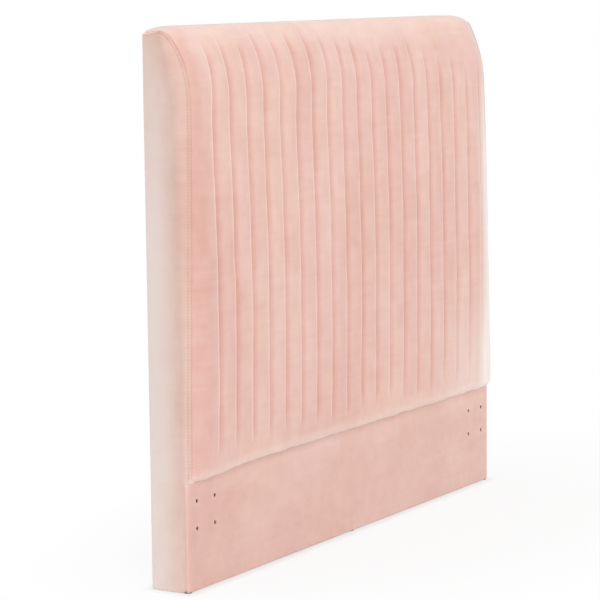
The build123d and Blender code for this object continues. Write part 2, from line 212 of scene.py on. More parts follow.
# Where each tuck opens out below the crest, and how far its upper end stands over to the right, in millimetres
tuck_start = (135, 120, 142, 114, 120, 118, 117, 123, 133, 136, 160, 150, 145, 150, 178, 206, 198, 240, 232)
tuck_splay = (15, 11, 13, 11, 13, 15, 16, 17, 15, 11, 7, 7, 5, 4, 4, 0, 2, 0, 0)
tuck_start, tuck_splay = np.array(tuck_start) / 1000, np.array(tuck_splay) / 1000
draws = np.random.RandomState(7)
tuck_end = LIP_START - draws.uniform(0.004, 0.022, TUCKS)
tuck_lean = draws.uniform(-0.0045, 0.0005, TUCKS)


def tuck_strength(tuck, run):
    """Share of its full depth that a tuck has at a length along the outline."""
    opening = 0.062 if tuck < 10 else 0.09
    rise = ease(run, tuck_start[tuck], tuck_start[tuck] + opening)
    return rise * (1 - ease(run, tuck_end[tuck] - 0.06, tuck_end[tuck]))


def tuck_line(tuck, run):
    """X of a tuck's stitch line: it stands over at the top, and leans a little where it runs out at the foot."""
    sway = 0.0009 * drift(20 + tuck, run * 9)
    splay = tuck_splay[tuck] * (0.6 + 0.4 * ease(run, 0.13, 0.18)) * (1 - ease(run, 0.18, 0.38))
    foot = tuck_lean[tuck] * ease(run, tuck_end[tuck] - 0.07, tuck_end[tuck])
    return first_tuck + tuck * PITCH + sway + splay + foot


# Grid of the cover: rows along the outline, and columns over the left margin, the tucks and the right margin
row_counts = (6, 4, 8, 24, 44, 150, 20, 2)
rows = [np.linspace(run_marks[i], run_marks[i + 1], count, endpoint=False) for i, count in enumerate(row_counts)]
rows = np.concatenate(rows + [[run_marks[-1]]])
cover_x, cover_out, cover_tone_and_painted_light = [], [], []
left_seam, right_seam = [HALF - end_shape(rows, hand)[3] for hand in (-1, 1)]
margin_shares = np.linspace(0, 1, 22)[:-1] ** 1.5
left_inner_x = tuck_line(0, rows) - TUCK_REACH
strengths = [tuck_strength(tuck, rows) for tuck in range(TUCKS)]
for share in margin_shares:
    cover_x.append(-left_seam + (left_inner_x + left_seam) * share)
    cover_out.append(0.0006 * strengths[0] * share**3)
    cover_tone_and_painted_light.append(rows * 0)
# Along each tuck the colour mark holds a painted highlight on the fold's ridge, and painted shade on its underside and
# in the valley to its right.
for tuck in range(TUCKS):
    strength = strengths[tuck]
    before = strengths[tuck - 1] if tuck else strength * 0
    line = tuck_line(tuck, rows)
    into = np.sqrt(strength * before) if tuck else strength * 0.5
    for flat, lift in approach:
        cover_x.append(line + flat / 1000)
        tail = before * TUCK_DEPTH * trail(PITCH + flat / 1000) if tuck else 0
        cover_out.append(tail + strength * lift / 1000 + into * crown(1 + flat / 1000 / PITCH))
        cover_tone_and_painted_light.append(strength * ease(flat, -7, -3))
    for flat, folded, lift in rolled:
        cover_x.append(line + (flat + (folded - flat) * strength) / 1000)
        cover_out.append(strength * lift / 1000 + before * TUCK_DEPTH * trail(PITCH) * ease(-lift, 5, 0))
        cover_tone_and_painted_light.append(strength * (2.3 if lift > -2 else -1.2))
    beyond = strengths[tuck + 1] if tuck < TUCKS - 1 else strength * 0.3
    out_of = np.sqrt(strength * beyond)
    for flat in trailing:
        cover_x.append(line + flat / 1000)
        cover_out.append(strength * TUCK_DEPTH * trail(flat / 1000) + out_of * crown(flat / 1000 / PITCH))
        cover_tone_and_painted_light.append(-strength * (1 - ease(flat, 4, 30)))
right_inner_x = tuck_line(TUCKS - 1, rows) + TUCK_REACH
for share in margin_shares[::-1]:
    cover_x.append(right_seam + (right_inner_x - right_seam) * share)
    cover_out.append(strengths[-1] * TUCK_DEPTH * trail(TUCK_REACH + (1 - share) * 0.03) * share)
    cover_tone_and_painted_light.append(rows * 0)

cover_x, cover_out, cover_tone_and_painted_light = np.array(cover_x).T, np.array(cover_out).T, np.array(cover_tone_and_painted_light).T
down = rows[:, None]

# Painted highlight over the crest, whose top catches the light, and along the lip, whose edge shows the velvet's sheen;
# the colour is also darker at the left end
painted_highlight = 0.85 * (1 - ease(down, CREST_START + 0.02, SHOULDER_START + 0.075))
painted_highlight = painted_highlight + 1.3 * bell(down, LIP_START + 0.020, 0.018)
left_end = (1 - ease(cover_x, -0.745, -0.69)) * ease(down, CREST_START - 0.02, SHOULDER_START + 0.03)
cover_tone_and_painted_light = cover_tone_and_painted_light + painted_highlight - left_end * (0.75 - 0.4 * ease(down, 0.45, 0.8))

# Painted sheen: the colour is blended to a paler grey at the right end, over the lower right, under the lip and behind
# the crest
cover_painted_sheen = 0.85 * ease(cover_x, 0.66, 0.75) * ease(down, SHOULDER_START + 0.06, FACE_START + 0.25)
cover_painted_sheen = cover_painted_sheen + 0.35 * ease(cover_x, 0.35, 0.72) * ease(down, LIP_START - 0.35, LIP_START - 0.05)
cover_painted_sheen = cover_painted_sheen + 0.2 * ease(down, LIP_START + 0.008, LIP_START + 0.026)
cover_painted_sheen = cover_painted_sheen + 0.25 * (1 - ease(down, CREST_START - 0.01, CREST_START + 0.03))

# The wadding is a little uneven, the lip is wavy, and one faint crease runs across the upper right
down = np.repeat(down, cover_x.shape[1], axis=1)
uneven = 0.0011 * drift(1, down * 7, cover_x * 6) + 0.0005 * drift(2, down * 30, cover_x * 22)
wavy = 0.0012 * drift(3, cover_x * 38) + 0.0009 * drift(4, cover_x * 90)
uneven = uneven * ease(down, CREST_START, SHOULDER_START) + wavy * ease(down, LIP_START - 0.03, LIP_START + 0.02)
crease_place = SHOULDER_START + 0.018 + 0.004 * drift(5, cover_x * 12)
crease = bell(down, crease_place, 0.0035) * ease(cover_x, 0.50, 0.62) * (1 - ease(cover_x, 0.70, 0.76))
thin_top = ease(down, BACK_END, TOP_START) * (1 - ease(down, CREST_START, FACE_START))
cover_out = cover_out + uneven * ease(HALF - np.abs(cover_x), 0.012, 0.06) - 0.0016 * crease - 0.0015 * thin_top
seam_gap = np.where(cover_x < 0, left_seam[:, None], right_seam[:, None]) - np.abs(cover_x)
cover_y, cover_z = pad_place(down, cover_out, end_sink(down, cover_x) + furrow(seam_gap))
cover_z = cover_z - lip_drop(down, cover_x)


def smooth_piece(name, points, faces):
    """Piece made of points and faces, smoothly shaded, in its place in the scene."""
    mesh = bpy.data.meshes.new(name)
    mesh.from_pydata(points, [], faces)
    mesh.polygons.foreach_set("use_smooth", [True] * len(mesh.polygons))
    piece = bpy.data.objects.new(name, mesh)
    bpy.context.scene.collection.objects.link(piece)
    return piece


def cloth_grid(name, points, keep=None, closed_up=False):
    """Piece of quads through a grid of points, faced by the order of its columns."""
    tall, broad = points.shape[:2]
    ids = np.arange(tall * broad).reshape(tall, broad)
    after = np.roll(ids, -1, axis=1) if closed_up else ids[:, 1:]
    before = ids if closed_up else ids[:, :-1]
    quads = np.stack((before[:-1], before[1:], after[1:], after[:-1]), axis=-1)
    if keep is not None:
        quads = quads[keep]
    return smooth_piece(name, points.reshape(-1, 3).tolist(), quads.reshape(-1, 4).tolist())


def mark(piece, name, values):
    """Stores a number at each point of a piece for its material."""
    attribute = piece.data.attributes.new(name, "FLOAT", "POINT")
    attribute.data.foreach_set("value", np.asarray(values, np.float32).ravel())


def thicken(piece, thickness):
    """Gives a cloth its thickness behind the side that shows."""
    solid = piece.modifiers.new("Thickness", "SOLIDIFY")
    solid.thickness = thickness
    solid.offset = -1


pleated_cover = cloth_grid("Pleated_cover", np.stack((cover_x, cover_y, cover_z), axis=-1))
mark(pleated_cover, "tone_and_painted_light", cover_tone_and_painted_light)
mark(pleated_cover, "painted_sheen", np.clip(cover_painted_sheen, 0, 0.9))
thicken(pleated_cover, 0.0015)


class Wire:
    """Output of a shader node that adds, subtracts and multiplies like a number."""

    def __init__(self, finish, socket):
        self.finish = finish
        self.socket = socket

    def reckon(self, operation, other):
        return self.finish.node("ShaderNodeMath", {"operation": operation}, {0: self, 1: other})

    def __add__(self, other):
        return self.reckon("ADD", other)

    def __sub__(self, other):
        return self.reckon("SUBTRACT", other)

    def __mul__(self, other):
        return self.reckon("MULTIPLY", other)


class Finish:
    """A node material in the making, or the surround of the scene."""

    def __init__(self, name, surround=None):
        self.material = surround or bpy.data.materials.new(name)
        self.material.use_nodes = True
        self.tree = self.material.node_tree
        self.tree.nodes.clear()

    def node(self, kind, settings=None, sockets=None, output=0):
        """Adds a node of a type with its settings, then the values or links of its sockets."""
        made = self.tree.nodes.new(kind)
        for key, value in (settings or {}).items():
            setattr(made, key, value)
        for key, value in (sockets or {}).items():
            if isinstance(value, Wire):
                self.tree.links.new(value.socket, made.inputs[key])
            else:
                made.inputs[key].default_value = value
        return Wire(self, made.outputs[output]) if made.outputs else None

    def vector(self, operation, first, second=(0, 0, 0), output=0):
        """Vector maths on two places."""
        return self.node("ShaderNodeVectorMath", {"operation": operation}, {0: first, 1: second}, output)

    def place(self, stretch=(1, 1, 1)):
        """Place on the piece in metres, stretched along its axes."""
        return self.vector("MULTIPLY", self.node("ShaderNodeTexCoord", output="Object"), stretch)

    def noise(self, scale, stretch=(1, 1, 1), detail=3, roughness=0.5):
        """Soft noise around 0.5."""
        sockets = {"Vector": self.place(stretch), "Scale": scale, "Detail": detail, "Roughness": roughness}
        return self.node("ShaderNodeTexNoise", None, sockets, "Fac")

    def spread(self, value, low, high, first=0, last=1):
        """A value's range from low to high drawn out to a new one, held at its ends."""
        sockets = {0: value, 1: low, 2: high, 3: first, 4: last}
        return self.node("ShaderNodeMapRange", {"interpolation_type": "SMOOTHSTEP"}, sockets)

    def blend(self, share, first, second):
        """Mix of two colours."""
        sides = {0: share}
        for socket, colour in ((6, first), (7, second)):
            sides[socket] = colour if isinstance(colour, Wire) else (*colour, 1)
        return self.node("ShaderNodeMix", {"data_type": "RGBA"}, sides, 2)

    def surface(self, colour, roughness, height=None, depth=0.001, **fixed):
        """Closes the material with its shader; fixed values go on the shader's own sockets."""
        sockets = {"Base Color": colour if isinstance(colour, Wire) else (*colour, 1), "Roughness": roughness}
        if height is not None:
            sockets["Normal"] = self.node("ShaderNodeBump", None, {"Height": height, "Distance": depth, "Strength": 1})
        sockets.update({key.replace("_", " "): value for key, value in fixed.items()})
        shader = self.node("ShaderNodeBsdfPrincipled", None, sockets)
        self.node("ShaderNodeOutputMaterial", None, {"Surface": shader})
        return self.material


def velvet_finish(name, streak, deep, pale, painted_sheen):
    """Blush velvet, whose pile leans in soft patches between a deep and a pale pink. It is made lighter or darker by
    its tone mark, which holds painted highlights and shade, and blended to a pale grey painted sheen where that is
    marked.
    """
    finish = Finish(name)
    patches = finish.noise(5.5, (1, 1, streak), 3, 0.55)
    smudges = finish.noise(24, (1, 1, 0.6 * streak + 0.4), 2, 0.6)
    strokes = finish.noise(26, (0.3, 0.6, 2.2), 2, 0.6)
    pile = finish.noise(700, (1, 1, 0.5), 2, 0.7)
    hue = finish.spread(finish.noise(6.5, (1.2, 1, 0.7), 2), 0.38, 0.62)
    # The first mark holds painted highlights and painted shade, with some real pile tone; the second holds painted
    # sheen.
    tone_and_painted_light = finish.node("ShaderNodeAttribute", {"attribute_name": "tone_and_painted_light"}, None, "Fac")
    painted_sheen_share = finish.node("ShaderNodeAttribute", {"attribute_name": "painted_sheen"}, None, "Fac")
    light = finish.spread(patches, 0.3, 0.7) * 0.2 + finish.spread(smudges, 0.3, 0.7) * 0.12
    light = light + (strokes - 0.5) * 0.25 + (pile - 0.5) * 0.2 + tone_and_painted_light * 0.35 + 0.28
    red, green, blue = pale
    creamy, rosy = (red, green * 1.008, blue * 0.985), (red, green * 0.988, blue * 1.02)
    colour = finish.blend(light, deep, finish.blend(hue, creamy, rosy))
    nap = finish.noise(1500, (1, 1, 0.4), 1) * 0.5 + finish.noise(240, (1, 1, 0.7), 2) * 0.6
    return finish.surface(
        finish.blend(painted_sheen_share, colour, painted_sheen),
        finish.spread(smudges, 0.2, 0.8, 0.9, 0.8),
        nap,
        0.0006,
        Sheen_Weight=0.8,
        Sheen_Roughness=0.35,
        Sheen_Tint=(1.0, 0.93, 0.90, 1),
        Specular_IOR_Level=0.15,
    )


pleated_velvet = velvet_finish("Pleated velvet", 0.3, (0.67, 0.37, 0.31), (0.90, 0.69, 0.61), (0.92, 0.86, 0.82))
plain_velvet = velvet_finish("Plain velvet", 0.6, (0.66, 0.41, 0.34), (0.84, 0.68, 0.61), (0.79, 0.70, 0.66))
pleated_cover.data.materials.append(pleated_velvet)
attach(pleated_cover, "root")
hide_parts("pleated_cover")

# ---------------------------------------------------------------------------
# Side covers. One smooth panel of velvet on each side, from the floor to the
# top, is sewn to the pleated cover and turned over the back and the bottom.
# Under it lies a thin sheet of wadding, glued to the end panel.
# ---------------------------------------------------------------------------
SIDE_BACK, SIDE_RIM, BACK_TURN, HEM = 0.070, 0.0025, 0.021, 0.025
APRON_FRONT, APRON_CORNER = -0.03784, 0.008
FLOOR_GAP, BOTTOM_CURVE = 0.0008, 0.007
FOOT_ROUND, FOOT_HEIGHT, FOOT_DEPTH = 0.009, 0.035, 0.018
FAR = 9.0


class Seam:
    """Seam between the pad and one side panel, with the rounding on which it lies."""

    def __init__(self, hand):
        self.run = np.linspace(TOP_START, LIP_END, 1500)
        self.wide, self.deep, self.power, drawn = end_shape(self.run, hand)
        self.sunk = rounded(drawn, self.wide, self.deep, self.power)
        self.y, z = pad_place(self.run, 0, self.sunk)
        self.z = z - lip_drop(self.run, hand * (HALF - drawn))
        self.peak = self.z.argmax()
        self.lowest = self.z.min()

    def rows(self):
        """Heights of a side panel's rows, closest together at the floor, the lip's corner and the crest."""
        bands = (
            FLOOR_GAP + SIDE_RIM * (1 - np.cos(np.linspace(0, pi / 2, 6))),
            np.linspace(0.008, 0.245, 26),
            self.lowest - np.array((0.016, 0.010, 0.005, 0.002, 0.0006)),
            self.lowest + np.linspace(0.0002, 0.032, 24),
            np.linspace(0.322, 1.16, 90),
            np.interp(np.linspace(FACE_START - 0.02, self.run[self.peak], 70), self.run, self.z),
        )
        return np.unique(np.concatenate(bands))

    def front(self, z):
        """Y of the side panel's front edge: the seam, and below the lip the corner of the apron."""
        on_seam = np.interp(z, self.z[self.peak :][::-1], self.y[self.peak :][::-1])
        return np.where(z > self.lowest, on_seam, APRON_FRONT + APRON_CORNER - 0.001)

    def back(self, z):
        """Y of the side panel's back edge, rounded at the floor, and along the seam at the top."""
        edge = self.y[: self.peak + 1] + np.linspace(SIDE_RIM - 0.001, 0, self.peak + 1)
        on_seam = np.where(z > self.z[0], np.interp(z, self.z[: self.peak + 1], edge), FAR)
        return np.minimum(SIDE_BACK - rounded(z - FLOOR_GAP, BOTTOM_CURVE, BOTTOM_CURVE, 2), on_seam)

    def reach(self, y, z):
        """Distance of the side panel's surface from the middle, rounded over towards the seam."""
        gap = np.full(y.shape, FAR)
        nearest = np.zeros(y.shape, int)
        for step in range(0, len(self.run), 3):
            away = np.hypot(y - self.y[step], z - self.z[step])
            nearest[away < gap] = step
            gap = np.minimum(gap, away)
        depth = self.sunk[nearest] + gap
        pull = rounded(depth, self.deep[nearest], self.wide[nearest], self.power[nearest]) + furrow(gap)
        ripple = 0.0004 * drift(31, y * 40, z * 5) + 0.0002 * drift(32, y * 90, z * 24)
        ripple = np.maximum(0.0003 + ripple, 0) * ease(gap, 0.004, 0.03) * ease(HEIGHT - z, 0, 0.02)
        return HALF - 0.0002 - ripple - pull * (z > self.lowest)


seams = {hand: Seam(hand) for hand in (-1, 1)}


def side_columns(seam, z, layer=0, trim=0):
    """Columns from the seam to the back edge, a layer under the side's surface and trimmed at the front."""
    front, rear = seam.front(z) + trim, seam.back(z) - SIDE_RIM
    for share in np.concatenate(((0, 0.012, 0.028, 0.05, 0.08, 0.12, 0.17, 0.24), np.linspace(0.32, 1, 12))):
        y = front + (rear - front) * share
        yield seam.reach(y, z) - layer, y


def side_points(hand):
    """Grid over one side from the seam to the back edge, and on over the back and under the bottom."""
    seam = seams[hand]
    side_z = seam.rows()
    columns = list(side_columns(seam, side_z))
    edge_x, edge_y = columns[-1]
    for turn in np.linspace(0, pi / 2, 6)[1:]:
        columns.append((edge_x - SIDE_RIM * (1 - cos(turn)), edge_y + SIDE_RIM * sin(turn)))
    beneath = 0.0022 * ease(side_z, HEIGHT - TOP_TURN - 0.02, HEIGHT - TOP_TURN)
    for step in (0.25, 0.5, 0.75, 1):
        columns.append((edge_x - SIDE_RIM - BACK_TURN * step, edge_y + SIDE_RIM - beneath))
    x, y = np.array(columns).transpose(1, 2, 0)
    z = np.repeat(side_z[:, None], x.shape[1], axis=1)
    x = np.minimum(x, HALF - 0.0004 - rounded(z - FLOOR_GAP, SIDE_RIM, SIDE_RIM, 2))
    under = [np.minimum(x[0], HALF - SIDE_RIM - HEM * step) for step in (0.85, 0.5, 0.2)]
    x = np.concatenate((np.array(under), x))
    y = np.concatenate((np.repeat(y[:1], 3, axis=0), y))
    z = np.concatenate((np.repeat(z[:1], 3, axis=0), z))
    foot = rounded(y - APRON_FRONT - APRON_CORNER, FOOT_DEPTH, FOOT_ROUND, 2)
    return np.stack((hand * x, y, z + foot * (1 - ease(z, FLOOR_GAP, FLOOR_GAP + FOOT_HEIGHT))), axis=-1)


def spots_of(piece):
    """X, Y and Z of a piece's points."""
    return np.array([point.co[:] for point in piece.data.vertices]).T


wadding_finish = Finish("Wadding")
fluff = wadding_finish.noise(900, detail=4, roughness=0.7)
wadding_white = wadding_finish.blend(fluff, (0.80, 0.80, 0.76), (0.92, 0.92, 0.89))
wadding_white = wadding_finish.surface(wadding_white, 0.95, fluff, 0.002, Sheen_Weight=0.3)

for hand, side in ((-1, "left"), (1, "right")):
    points = side_points(hand)
    side_cover = cloth_grid(f"{side.capitalize()}_side_cover", points if hand < 0 else points[:, ::-1])
    x, y, z = spots_of(side_cover)

    # Painted sheen and light make the colour paler and greyer towards the back, it is paler towards the floor, and
    # painted shade makes it darker beside the upper part of the seam
    behind = ease(y - seams[hand].front(z), 0, 0.10)
    mark(side_cover, "tone_and_painted_light", 1.3 * behind - 0.35 - 0.5 * ease(z, 0.7, 1.25) + 0.7 * (1 - ease(z, 0.2, 0.5)))
    mark(side_cover, "painted_sheen", 0.8 * behind**1.5 * (1 - 0.55 * ease(z, 0.85, 1.3)))
    thicken(side_cover, 0.0013)
    side_cover.data.materials.append(plain_velvet)
    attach(side_cover, "root")
    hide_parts(f"{side}_side_cover")

    padding_z = seams[hand].rows()[2:]
    padding = [(x, y, padding_z) for x, y in side_columns(seams[hand], padding_z, 0.0017, 0.010)]
    padding = np.array(padding).transpose(2, 0, 1)
    padding = np.clip(padding, (0, -1, 0), (HALF - 0.003, 1, 1.351)) * (hand, 1, 1)
    side_wadding = cloth_grid(f"{side.capitalize()}_side_wadding", padding if hand < 0 else padding[:, ::-1])
    thicken(side_wadding, 0.0028)
    side_wadding.data.materials.append(wadding_white)
    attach(side_wadding, "root")
    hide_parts(f"{side}_side_wadding")

# ---------------------------------------------------------------------------
# Topstitching. Two rows of reddish thread run beside the seam on both ends,
# one on the side panel and one on the pad, from the back to the lip.
# ---------------------------------------------------------------------------
STITCH_LENGTH, STITCH_PITCH, THREAD = 0.0054, 0.0076, 0.00045
ROW_SET = 0.0048


def stitch_rows(hand):
    """Lines of the two rows of stitches beside one seam, with the way each faces."""
    run = np.arange(TOP_START + 0.004, LIP_START + 0.024, STITCH_PITCH / 4)
    wide, deep, power, drawn = end_shape(run, hand)
    lean = np.minimum(np.interp(run, run_marks, turn_marks), pi / 2)
    turns = np.linspace(0, pi / 2, 80)[:, None]
    inside = wide * (1 - np.cos(turns) ** (2 / power))
    depth = deep * (1 - np.sin(turns) ** (2 / power))
    steps = np.hypot(np.diff(inside, axis=0), np.diff(depth, axis=0))
    lengths = np.concatenate((inside[:1] * 0, np.cumsum(steps, axis=0)))
    for offset in (-ROW_SET, ROW_SET):
        spots = []
        for i in range(len(run)):
            place = np.interp(drawn[i], inside[:, i], lengths[:, i]) + offset + np.array((0, 0.0006))
            x = np.interp(place, lengths[:, i], inside[:, i])
            spots.append((*x, *(np.interp(place, lengths[:, i], depth[:, i]) + np.maximum(-place, 0))))
        x, next_x, sunk, next_sunk = np.array(spots).T
        y, z = pad_place(run, 0, sunk)
        way = (hand * (sunk - next_sunk), -np.sin(lean) * (next_x - x), np.cos(lean) * (next_x - x))
        way = np.stack(way, axis=-1)
        way = way / np.linalg.norm(way, axis=1)[:, None]
        line = np.stack((hand * (HALF - x), y, z - lip_drop(run, hand * (HALF - x))), axis=-1)
        yield line - way * 0.0001, way


thread = Finish("Topstitch thread")
twist = thread.noise(2600, (1, 1, 1.6), 2)
thread_red = thread.blend(twist, (0.40, 0.16, 0.11), (0.55, 0.26, 0.19))
thread_red = thread.surface(thread_red, 0.6, twist, 0.0003, Sheen_Weight=0.2)

ring_turns = np.arange(6) * pi / 3
stitch_profile = ((0, 0.1), (0.06, 0.62), (0.2, 0.95), (0.5, 1.0), (0.8, 0.95), (0.94, 0.62), (1, 0.1))
for hand, side in ((-1, "Left"), (1, "Right")):
    spots, faces = [], []
    for line, way in stitch_rows(hand):
        for first in range(1, len(line) - 5, 4):
            start, end = line[first], line[first + 3]
            along = (end - start) / np.linalg.norm(end - start)
            middle = (start + end) / 2
            facing = way[first] - along * np.dot(way[first], along)
            facing = facing / np.linalg.norm(facing)
            beside = np.cross(along, facing)
            base = len(spots)
            for share, girth in stitch_profile:
                arch = -THREAD * 0.7 * (2 * share - 1) ** 2
                centre = middle + along * STITCH_LENGTH * (share - 0.5) + facing * arch
                for ring_turn in ring_turns:
                    rim = facing * cos(ring_turn) + beside * sin(ring_turn)
                    spots.append(tuple(centre + rim * THREAD * girth))
            for ring in range(len(stitch_profile) - 1):
                for edge in range(6):
                    a, b = base + ring * 6 + edge, base + ring * 6 + (edge + 1) % 6
                    faces.append((a, b, b + 6, a + 6))
            faces.append(tuple(range(base + 5, base - 1, -1)))
            faces.append(tuple(range(base + 6 * len(stitch_profile) - 6, base + 6 * len(stitch_profile))))
    topstitching = smooth_piece(f"{side}_topstitching", spots, faces)
    topstitching.data.materials.append(thread_red)
    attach(topstitching, "root")

# ---------------------------------------------------------------------------
# Apron cover. Plain velvet over wadding on the apron board. It is turned
# round both corners and the bottom, and pierced for the bed frame's bolts.
# ---------------------------------------------------------------------------
APRON_TOP, APRON_ROLL = 0.301, 0.005
HOLE_RADIUS, HOLE_CELL = 0.0048, 0.004
hole_places = [(side * 0.705 + step * 0.039, z) for side in (-1, 1) for step in (-1, 1) for z in (0.1555, 0.2235)]
near_hole = [HOLE_CELL * step for step in range(-4, 5)]


def spaced(places, low, high, step):
    """Rising grid lines between two ends: the given places, and others no nearer to them than half a step."""
    lines = sorted(places)
    for place in np.linspace(low, high, int((high - low) / step) + 1):
        if min(abs(place - other) for other in lines) > step * 0.45:
            lines.append(place)
    return np.array(sorted(lines))


def apron_grid(half, front, corner, bottom, hem, radius):
    """Grid over the apron with its corners and hem, and with a ring of points round each bolt hole."""
    flat_x = spaced([x + step for x, z in hole_places for step in near_hole], -half + corner, half - corner, 0.02)
    arc = np.linspace(0, pi / 2, 7)[:-1]
    left_x, left_y = -half + corner * (1 - np.cos(arc)), front + corner * (1 - np.sin(arc))
    x = np.concatenate((left_x, flat_x, -left_x[::-1]))
    y = np.concatenate((left_y, np.full(len(flat_x), front), left_y[::-1]))
    near_lip = [seams[hand].lowest + step for hand in (-1, 1) for step in (-0.002, 0.001)]
    near_holes = [place[1] + step for place in hole_places[:2] for step in near_hole]
    flat_z = spaced(near_holes + near_lip, bottom + APRON_ROLL, APRON_TOP, 0.02)
    grid_x, grid_z = np.meshgrid(x, flat_z)
    grid_y = np.tile(y, (len(flat_z), 1))
    ways_x = np.concatenate((-np.cos(arc), flat_x * 0, np.cos(arc)[::-1]))
    ways_y = np.concatenate((-np.sin(arc), flat_x * 0 - 1, -np.sin(arc)[::-1]))
    swell = ease(half - np.abs(grid_x), 0, 0.05) * ease(grid_z, bottom, bottom + 0.04)
    gap = np.min([np.hypot(grid_x - hx, grid_z - hz) for hx, hz in hole_places], axis=0)
    soft = 0.0007 * drift(41, grid_x * 7, grid_z * 10) + 0.0004 * drift(42, grid_x * 26, grid_z * 31)
    grid_y = grid_y - np.maximum(soft, -0.0006) * swell * ease(gap, 0.003, 0.02)
    grid_y = grid_y + 0.0009 * bell(gap, 0, 0.0075)
    rolled_under = [(APRON_ROLL + hem * step, 0) for step in (1, 0.6, 0.2)]
    for turn in np.linspace(0, pi / 2, 6)[:-1]:
        rolled_under.append((APRON_ROLL * (1 - sin(turn)), APRON_ROLL * (1 - cos(turn))))
    inward, rise = np.array(rolled_under).T[:, :, None]
    grid_x = np.concatenate((x - ways_x * inward, grid_x))
    grid_y = np.concatenate((y - ways_y * inward, grid_y))
    grid_z = np.concatenate((x * 0 + bottom + rise, grid_z))
    for hand in (-1, 1):
        top = (grid_x * hand > 0.76) & (grid_z > seams[hand].lowest)
        under_side = seams[hand].reach(grid_y[top], grid_z[top]) - HALF + half - 0.0015
        grid_x[top] = hand * np.minimum(np.abs(grid_x[top]), under_side)
    foot = rounded(half - np.abs(grid_x), FOOT_ROUND, FOOT_ROUND, 2)
    grid_z = grid_z + foot * (1 - ease(grid_z, bottom, bottom + FOOT_HEIGHT))
    keep = np.ones((grid_x.shape[0] - 1, grid_x.shape[1] - 1), bool)
    for hx, hz in hole_places:
        across, up = grid_x - hx, grid_z - hz
        ring = np.maximum(np.abs(across), np.abs(up)) < HOLE_CELL + 0.0005
        reach = np.hypot(across, up)
        share = np.where(ring & (reach > 0.001), radius / np.maximum(reach, 0.001), 1)
        middle_x = (grid_x[:-1, :-1] + grid_x[1:, 1:]) / 2 - hx
        middle_z = (grid_z[:-1, :-1] + grid_z[1:, 1:]) / 2 - hz
        keep &= np.maximum(np.abs(middle_x), np.abs(middle_z)) >= HOLE_CELL
        grid_x, grid_z = hx + across * share, hz + up * share
    return np.stack((grid_x, grid_y, grid_z), axis=-1), keep


def tidy_holes(piece, walls):
    """Deletes points that no face uses, and draws the edge of each bolt hole inwards, wall after wall."""
    mesh = bmesh.new()
    mesh.from_mesh(piece.data)
    bmesh.ops.delete(mesh, geom=[point for point in mesh.verts if not point.link_faces], context="VERTS")
    for layer, wall in enumerate(walls):
        rims = []
        for edge in mesh.edges:
            centre = (edge.verts[0].co + edge.verts[1].co) / 2
            near = min((centre.x - hx) ** 2 + (centre.z - hz) ** 2 for hx, hz in hole_places)
            if edge.is_boundary and near < 0.006**2:
                rims.append(edge)
        for part in bmesh.ops.extrude_edge_only(mesh, edges=rims)["geom"]:
            if isinstance(part, bmesh.types.BMVert):
                part.co.y += wall
            elif isinstance(part, bmesh.types.BMFace):
                # Walls after the first take the second material where there is one: painted shade inside the hole.
                part.material_index = min(layer, len(piece.data.materials) - 1)
    for face in mesh.faces:
        face.smooth = True
    mesh.to_mesh(piece.data)
    mesh.free()


points, keep = apron_grid(HALF - 0.0002, APRON_FRONT, APRON_CORNER, FLOOR_GAP, 0.018, HOLE_RADIUS)
apron_cover = cloth_grid("Apron_cover", points[:, ::-1], keep[:, ::-1])
apron_velvet = velvet_finish("Apron velvet", 1.0, (0.68, 0.39, 0.33), (0.86, 0.64, 0.57), (0.84, 0.66, 0.60))
# Painted shade: the deeper wall of each bolt hole takes this near-black material for the shade inside the hole.
hole_shade_finish = Finish("Hole painted shade")
hole_shade_noise = hole_shade_finish.noise(900, detail=2)
hole_shade_dark = hole_shade_finish.blend(hole_shade_noise, (0.030, 0.010, 0.008), (0.055, 0.020, 0.016))
hole_shade_dark = hole_shade_finish.surface(hole_shade_dark, 0.95, hole_shade_noise, 0.0004, Specular_IOR_Level=0.0)
apron_cover.data.materials.append(apron_velvet)
apron_cover.data.materials.append(hole_shade_dark)
tidy_holes(apron_cover, (0.0003, 0.0119))

# The pile is crushed pale in a ring round each hole, painted shade darkens each hole's rim, the colour is darker at the
# left end, and painted light lifts the shade under the lip
x, y, z = spots_of(apron_cover)
hole_gap = np.min([np.hypot(x - hx, z - hz) for hx, hz in hole_places], axis=0)
crushed_ring_and_hole_shade = 0.6 * bell(hole_gap, 0.0085, 0.0025) - 1.8 * bell(hole_gap, HOLE_RADIUS, 0.0018)
mark(apron_cover, "tone_and_painted_light", crushed_ring_and_hole_shade - 0.25 * bell(x, -HALF, 0.25) + 0.5 * ease(z, 0.19, 0.28))
# Painted sheen: a little paler grey over the rounded ends.
mark(apron_cover, "painted_sheen", 0.1 * (1 - ease(HALF - np.abs(x), 0.004, 0.012)))
subdivided = apron_cover.modifiers.new("Smooth", "SUBSURF")
subdivided.levels = subdivided.render_levels = 1
thicken(apron_cover, 0.0013)
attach(apron_cover, "root")
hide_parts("apron_cover")

points, keep = apron_grid(0.786, -0.0361, 0.006, 0.0055, 0.0001, 0.006)
apron_wadding = cloth_grid("Apron_wadding", points[8:, ::-1], keep[8:, ::-1])
apron_wadding.data.materials.append(wadding_white)
tidy_holes(apron_wadding, (0.0005, 0.0005))
thicken(apron_wadding, 0.0026)
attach(apron_wadding, "root")
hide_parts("apron_wadding")

